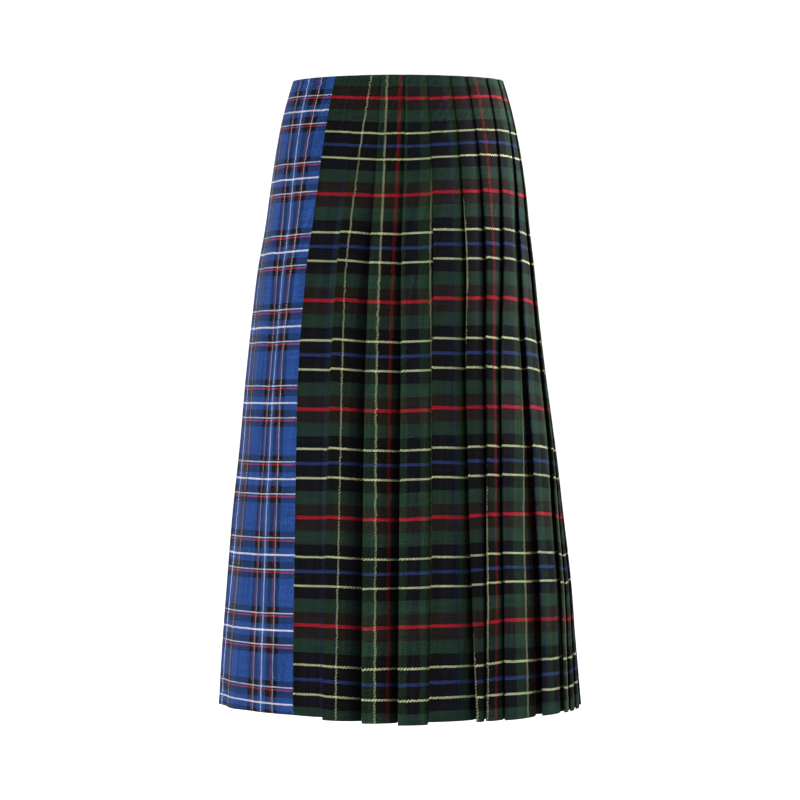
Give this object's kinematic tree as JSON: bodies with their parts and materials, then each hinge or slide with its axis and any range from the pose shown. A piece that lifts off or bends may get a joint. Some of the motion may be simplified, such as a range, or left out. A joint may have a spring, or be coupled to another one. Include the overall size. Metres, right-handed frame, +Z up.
{
  "type": "pleated midi skirt",
  "caption": "Worn-shape midi skirt of wool check cloth: a flat flared panel at one side, knife pleats round the rest, open at waist and hem, with a concealed zip.",
  "frame": {"origin": "centre of the waist opening, level with the top edge", "axes": "+Z up, -Y out of the front, +X to the wearer's left side, which is the viewer's right from the front"},
  "size_m": [0.4517, 0.359, 0.7804],
  "materials": {
    "blue_check": "woollen twill in a blue, navy, white and red line check",
    "green_check": "woollen twill in a dark green, black and navy check with red, yellow and blue lines",
    "zip_metal": "dark enamelled metal"
  },
  "bodies": {
    "skirt": {"side_panel": "blue_check", "front_panel": "green_check", "back_panel": "green_check", "zip_slider": "zip_metal"},
    "pull_tab": {"zip_pull": "zip_metal"}
  },
  "joints": [
    {"name": "zip_pull_swing", "type": "hinge", "parent": "skirt", "child": "pull_tab", "pos_m": [-0.08238, 0.08272, -0.00836], "axis": [0.8835, 0.4685, -0.007], "range_deg": [0, 165]}
  ]
}
